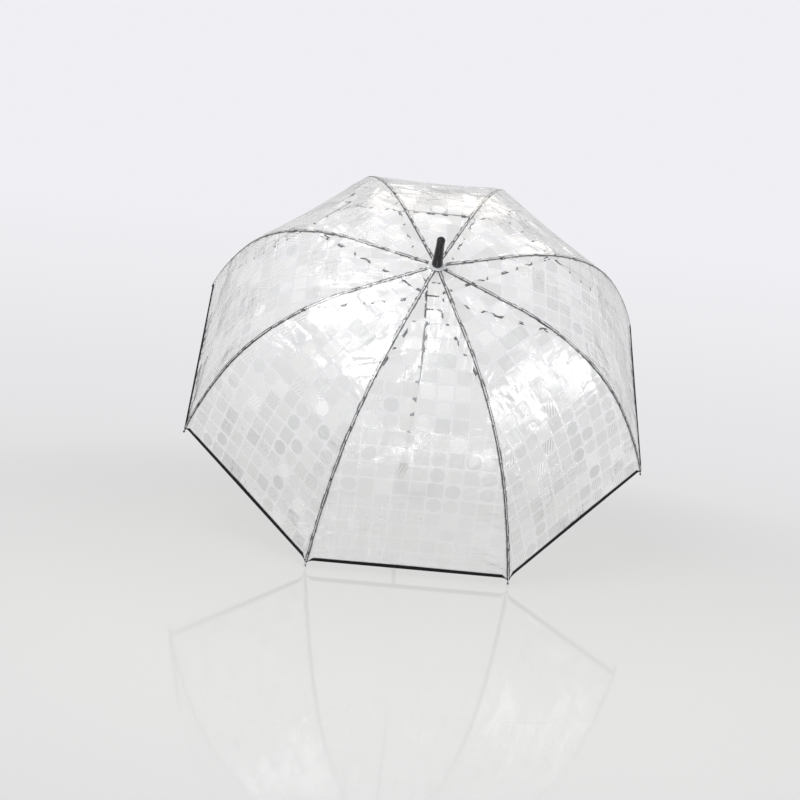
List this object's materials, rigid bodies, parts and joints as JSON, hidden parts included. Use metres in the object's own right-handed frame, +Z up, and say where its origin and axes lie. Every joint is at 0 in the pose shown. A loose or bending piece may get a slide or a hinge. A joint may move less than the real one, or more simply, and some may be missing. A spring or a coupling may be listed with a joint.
{
  "type": "dome umbrella",
  "caption": "Clear dome umbrella with printed film panels, steel ribs and stretchers, a sliding runner, a plastic ferrule and a hook handle.",
  "frame": {"origin": "on the shaft's axis in the straight hand grip, at its hand mount", "axes": "+Z up along the shaft towards the ferrule; the handle's hook bends towards +X; a panel faces -Y"},
  "size_m": [0.7842, 0.7842, 0.7846],
  "materials": {
    "shaft_steel": "bright, slightly brushed",
    "rib_steel": "bright plated",
    "black_plastic": "moulded, semi-gloss",
    "clear_plastic": "clear, glossy",
    "film": "clear film printed with frosted tiles",
    "binding": "woven tape"
  },
  "bodies": {
    "shaft": {"shaft": "shaft_steel", "handle": "black_plastic", "ferrule": "black_plastic", "canopy_washer": "clear_plastic", "crown": "black_plastic", "crown_wire": "rib_steel"},
    "rib_inner_1": {"rib_inner_1": "rib_steel", "canopy_panel_1": "film", "edge_binding_1": "binding"},
    "rib_middle_1": {"rib_middle_1": "rib_steel"},
    "rib_outer_1": {"rib_outer_1": "rib_steel"},
    "stretcher_1": {"stretcher_1": "rib_steel"},
    "rib_inner_2": {"rib_inner_2": "rib_steel", "canopy_panel_2": "film", "edge_binding_2": "binding"},
    "rib_middle_2": {"rib_middle_2": "rib_steel"},
    "rib_outer_2": {"rib_outer_2": "rib_steel"},
    "stretcher_2": {"stretcher_2": "rib_steel"},
    "rib_inner_3": {"rib_inner_3": "rib_steel", "canopy_panel_3": "film", "edge_binding_3": "binding"},
    "rib_middle_3": {"rib_middle_3": "rib_steel"},
    "rib_outer_3": {"rib_outer_3": "rib_steel"},
    "stretcher_3": {"stretcher_3": "rib_steel"},
    "rib_inner_4": {"rib_inner_4": "rib_steel", "canopy_panel_4": "film", "edge_binding_4": "binding"},
    "rib_middle_4": {"rib_middle_4": "rib_steel"},
    "rib_outer_4": {"rib_outer_4": "rib_steel"},
    "stretcher_4": {"stretcher_4": "rib_steel"},
    "rib_inner_5": {"rib_inner_5": "rib_steel", "canopy_panel_5": "film", "edge_binding_5": "binding"},
    "rib_middle_5": {"rib_middle_5": "rib_steel"},
    "rib_outer_5": {"rib_outer_5": "rib_steel"},
    "stretcher_5": {"stretcher_5": "rib_steel"},
    "rib_inner_6": {"rib_inner_6": "rib_steel", "canopy_panel_6": "film", "edge_binding_6": "binding"},
    "rib_middle_6": {"rib_middle_6": "rib_steel"},
    "rib_outer_6": {"rib_outer_6": "rib_steel"},
    "stretcher_6": {"stretcher_6": "rib_steel"},
    "rib_inner_7": {"rib_inner_7": "rib_steel", "canopy_panel_7": "film", "edge_binding_7": "binding"},
    "rib_middle_7": {"rib_middle_7": "rib_steel"},
    "rib_outer_7": {"rib_outer_7": "rib_steel"},
    "stretcher_7": {"stretcher_7": "rib_steel"},
    "rib_inner_8": {"rib_inner_8": "rib_steel", "canopy_panel_8": "film", "edge_binding_8": "binding"},
    "rib_middle_8": {"rib_middle_8": "rib_steel"},
    "rib_outer_8": {"rib_outer_8": "rib_steel"},
    "stretcher_8": {"stretcher_8": "rib_steel"},
    "runner": {"runner": "black_plastic", "runner_wire": "rib_steel"},
    "top_catch": {"top_catch": "rib_steel"},
    "bottom_catch": {"bottom_catch": "rib_steel"}
  },
  "joints": [
    {"name": "canopy_fold", "type": "hinge", "parent": "shaft", "child": "rib_inner_1", "pos_m": [0.00831, 0.00344, 0.635], "axis": [-0.3827, 0.9239, 0], "range_deg": [0, 77.49], "deforming": ["canopy_panel_1", "canopy_panel_2", "canopy_panel_3", "canopy_panel_4", "canopy_panel_5", "canopy_panel_6", "canopy_panel_7", "canopy_panel_8", "edge_binding_1", "edge_binding_2", "edge_binding_3", "edge_binding_4", "edge_binding_5", "edge_binding_6", "edge_binding_7", "edge_binding_8", "top_catch", "bottom_catch"]},
    {"name": "rib_2_pivot", "type": "hinge", "parent": "shaft", "child": "rib_inner_2", "pos_m": [0.00344, 0.00831, 0.635], "axis": [-0.9239, 0.3827, 0], "range_deg": [0, 77.5]},
    {"name": "rib_3_pivot", "type": "hinge", "parent": "shaft", "child": "rib_inner_3", "pos_m": [-0.00344, 0.00831, 0.635], "axis": [-0.9239, -0.3827, 0], "range_deg": [0, 77.5]},
    {"name": "rib_4_pivot", "type": "hinge", "parent": "shaft", "child": "rib_inner_4", "pos_m": [-0.00831, 0.00344, 0.635], "axis": [-0.3827, -0.9239, 0], "range_deg": [0, 77.5]},
    {"name": "rib_5_pivot", "type": "hinge", "parent": "shaft", "child": "rib_inner_5", "pos_m": [-0.00831, -0.00344, 0.635], "axis": [0.3827, -0.9239, 0], "range_deg": [0, 77.5]},
    {"name": "rib_6_pivot", "type": "hinge", "parent": "shaft", "child": "rib_inner_6", "pos_m": [-0.00344, -0.00831, 0.635], "axis": [0.9239, -0.3827, 0], "range_deg": [0, 77.5]},
    {"name": "rib_7_pivot", "type": "hinge", "parent": "shaft", "child": "rib_inner_7", "pos_m": [0.00344, -0.00831, 0.635], "axis": [0.9239, 0.3827, 0], "range_deg": [0, 77.5]},
    {"name": "rib_8_pivot", "type": "hinge", "parent": "shaft", "child": "rib_inner_8", "pos_m": [0.00831, -0.00344, 0.635], "axis": [0.3827, 0.9239, 0], "range_deg": [0, 77.5]},
    {"name": "rib_1_shoulder_flex", "type": "hinge", "parent": "rib_inner_1", "child": "rib_middle_1", "pos_m": [0.20354, 0.08431, 0.5978], "axis": [-0.3827, 0.9239, 0], "range_deg": [-28.01, 0]},
    {"name": "rib_1_skirt_flex", "type": "hinge", "parent": "rib_middle_1", "child": "rib_outer_1", "pos_m": [0.32169, 0.13325, 0.49006], "axis": [-0.3827, 0.9239, 0], "range_deg": [-22.01, 0]},
    {"name": "stretcher_1_rivet", "type": "hinge", "parent": "rib_inner_1", "child": "stretcher_1", "pos_m": [0.19742, 0.08177, 0.59887], "axis": [-0.3827, 0.9239, 0], "range_deg": [-154.99, 0]},
    {"name": "rib_2_shoulder_flex", "type": "hinge", "parent": "rib_inner_2", "child": "rib_middle_2", "pos_m": [0.08431, 0.20354, 0.5978], "axis": [-0.9239, 0.3827, 0], "range_deg": [-28.01, 0]},
    {"name": "rib_2_skirt_flex", "type": "hinge", "parent": "rib_middle_2", "child": "rib_outer_2", "pos_m": [0.13325, 0.32169, 0.49006], "axis": [-0.9239, 0.3827, 0], "range_deg": [-22.01, 0]},
    {"name": "stretcher_2_rivet", "type": "hinge", "parent": "rib_inner_2", "child": "stretcher_2", "pos_m": [0.08177, 0.19742, 0.59887], "axis": [-0.9239, 0.3827, 0], "range_deg": [-154.99, 0]},
    {"name": "rib_3_shoulder_flex", "type": "hinge", "parent": "rib_inner_3", "child": "rib_middle_3", "pos_m": [-0.08431, 0.20354, 0.5978], "axis": [-0.9239, -0.3827, 0], "range_deg": [-28.01, 0]},
    {"name": "rib_3_skirt_flex", "type": "hinge", "parent": "rib_middle_3", "child": "rib_outer_3", "pos_m": [-0.13325, 0.32169, 0.49006], "axis": [-0.9239, -0.3827, 0], "range_deg": [-22.01, 0]},
    {"name": "stretcher_3_rivet", "type": "hinge", "parent": "rib_inner_3", "child": "stretcher_3", "pos_m": [-0.08177, 0.19742, 0.59887], "axis": [-0.9239, -0.3827, 0], "range_deg": [-154.99, 0]},
    {"name": "rib_4_shoulder_flex", "type": "hinge", "parent": "rib_inner_4", "child": "rib_middle_4", "pos_m": [-0.20354, 0.08431, 0.5978], "axis": [-0.3827, -0.9239, 0], "range_deg": [-28.01, 0]},
    {"name": "rib_4_skirt_flex", "type": "hinge", "parent": "rib_middle_4", "child": "rib_outer_4", "pos_m": [-0.32169, 0.13325, 0.49006], "axis": [-0.3827, -0.9239, 0], "range_deg": [-22.01, 0]},
    {"name": "stretcher_4_rivet", "type": "hinge", "parent": "rib_inner_4", "child": "stretcher_4", "pos_m": [-0.19742, 0.08177, 0.59887], "axis": [-0.3827, -0.9239, 0], "range_deg": [-154.99, 0]},
    {"name": "rib_5_shoulder_flex", "type": "hinge", "parent": "rib_inner_5", "child": "rib_middle_5", "pos_m": [-0.20354, -0.08431, 0.5978], "axis": [0.3827, -0.9239, 0], "range_deg": [-28.01, 0]},
    {"name": "rib_5_skirt_flex", "type": "hinge", "parent": "rib_middle_5", "child": "rib_outer_5", "pos_m": [-0.32169, -0.13325, 0.49006], "axis": [0.3827, -0.9239, 0], "range_deg": [-22.01, 0]},
    {"name": "stretcher_5_rivet", "type": "hinge", "parent": "rib_inner_5", "child": "stretcher_5", "pos_m": [-0.19742, -0.08177, 0.59887], "axis": [0.3827, -0.9239, 0], "range_deg": [-154.99, 0]},
    {"name": "rib_6_shoulder_flex", "type": "hinge", "parent": "rib_inner_6", "child": "rib_middle_6", "pos_m": [-0.08431, -0.20354, 0.5978], "axis": [0.9239, -0.3827, 0], "range_deg": [-28.01, 0]},
    {"name": "rib_6_skirt_flex", "type": "hinge", "parent": "rib_middle_6", "child": "rib_outer_6", "pos_m": [-0.13325, -0.32169, 0.49006], "axis": [0.9239, -0.3827, 0], "range_deg": [-22.01, 0]},
    {"name": "stretcher_6_rivet", "type": "hinge", "parent": "rib_inner_6", "child": "stretcher_6", "pos_m": [-0.08177, -0.19742, 0.59887], "axis": [0.9239, -0.3827, 0], "range_deg": [-154.99, 0]},
    {"name": "rib_7_shoulder_flex", "type": "hinge", "parent": "rib_inner_7", "child": "rib_middle_7", "pos_m": [0.08431, -0.20354, 0.5978], "axis": [0.9239, 0.3827, 0], "range_deg": [-28.01, 0]},
    {"name": "rib_7_skirt_flex", "type": "hinge", "parent": "rib_middle_7", "child": "rib_outer_7", "pos_m": [0.13325, -0.32169, 0.49006], "axis": [0.9239, 0.3827, 0], "range_deg": [-22.01, 0]},
    {"name": "stretcher_7_rivet", "type": "hinge", "parent": "rib_inner_7", "child": "stretcher_7", "pos_m": [0.08177, -0.19742, 0.59887], "axis": [0.9239, 0.3827, 0], "range_deg": [-154.99, 0]},
    {"name": "rib_8_shoulder_flex", "type": "hinge", "parent": "rib_inner_8", "child": "rib_middle_8", "pos_m": [0.20354, -0.08431, 0.5978], "axis": [0.3827, 0.9239, 0], "range_deg": [-28.01, 0]},
    {"name": "rib_8_skirt_flex", "type": "hinge", "parent": "rib_middle_8", "child": "rib_outer_8", "pos_m": [0.32169, -0.13325, 0.49006], "axis": [0.3827, 0.9239, 0], "range_deg": [-22.01, 0]},
    {"name": "stretcher_8_rivet", "type": "hinge", "parent": "rib_inner_8", "child": "stretcher_8", "pos_m": [0.19742, -0.08177, 0.59887], "axis": [0.3827, 0.9239, 0], "range_deg": [-154.99, 0]},
    {"name": "runner_pivot", "type": "hinge", "parent": "stretcher_1", "child": "runner", "pos_m": [0.00831, 0.00344, 0.56274], "axis": [-0.3827, 0.9239, 0], "range_deg": [0, 77.5]},
    {"name": "top_catch_press", "type": "slide", "parent": "shaft", "child": "top_catch", "axis": [-1, 0, 0], "range_m": [0, 0.0026], "stiffness_N_per_m": 800, "springref_m": -0.002},
    {"name": "bottom_catch_press", "type": "slide", "parent": "shaft", "child": "bottom_catch", "axis": [-1, 0, 0], "range_m": [0, 0.0026], "stiffness_N_per_m": 800, "springref_m": -0.002}
  ],
  "couplings": [
    {"joint": "rib_2_pivot", "follows": "canopy_fold", "ratio": 1},
    {"joint": "rib_3_pivot", "follows": "canopy_fold", "ratio": 1},
    {"joint": "rib_4_pivot", "follows": "canopy_fold", "ratio": 1},
    {"joint": "rib_5_pivot", "follows": "canopy_fold", "ratio": 1},
    {"joint": "rib_6_pivot", "follows": "canopy_fold", "ratio": 1},
    {"joint": "rib_7_pivot", "follows": "canopy_fold", "ratio": 1},
    {"joint": "rib_8_pivot", "follows": "canopy_fold", "ratio": 1},
    {"joint": "rib_1_shoulder_flex", "follows": "canopy_fold", "ratio": -0.36134},
    {"joint": "rib_1_skirt_flex", "follows": "canopy_fold", "ratio": -0.28391},
    {"joint": "stretcher_1_rivet", "follows": "canopy_fold", "ratio": -2},
    {"joint": "rib_2_shoulder_flex", "follows": "canopy_fold", "ratio": -0.36134},
    {"joint": "rib_2_skirt_flex", "follows": "canopy_fold", "ratio": -0.28391},
    {"joint": "stretcher_2_rivet", "follows": "canopy_fold", "ratio": -2},
    {"joint": "rib_3_shoulder_flex", "follows": "canopy_fold", "ratio": -0.36134},
    {"joint": "rib_3_skirt_flex", "follows": "canopy_fold", "ratio": -0.28391},
    {"joint": "stretcher_3_rivet", "follows": "canopy_fold", "ratio": -2},
    {"joint": "rib_4_shoulder_flex", "follows": "canopy_fold", "ratio": -0.36134},
    {"joint": "rib_4_skirt_flex", "follows": "canopy_fold", "ratio": -0.28391},
    {"joint": "stretcher_4_rivet", "follows": "canopy_fold", "ratio": -2},
    {"joint": "rib_5_shoulder_flex", "follows": "canopy_fold", "ratio": -0.36134},
    {"joint": "rib_5_skirt_flex", "follows": "canopy_fold", "ratio": -0.28391},
    {"joint": "stretcher_5_rivet", "follows": "canopy_fold", "ratio": -2},
    {"joint": "rib_6_shoulder_flex", "follows": "canopy_fold", "ratio": -0.36134},
    {"joint": "rib_6_skirt_flex", "follows": "canopy_fold", "ratio": -0.28391},
    {"joint": "stretcher_6_rivet", "follows": "canopy_fold", "ratio": -2},
    {"joint": "rib_7_shoulder_flex", "follows": "canopy_fold", "ratio": -0.36134},
    {"joint": "rib_7_skirt_flex", "follows": "canopy_fold", "ratio": -0.28391},
    {"joint": "stretcher_7_rivet", "follows": "canopy_fold", "ratio": -2},
    {"joint": "rib_8_shoulder_flex", "follows": "canopy_fold", "ratio": -0.36134},
    {"joint": "rib_8_skirt_flex", "follows": "canopy_fold", "ratio": -0.28391},
    {"joint": "stretcher_8_rivet", "follows": "canopy_fold", "ratio": -2},
    {"joint": "runner_pivot", "follows": "canopy_fold", "ratio": 1}
  ]
}
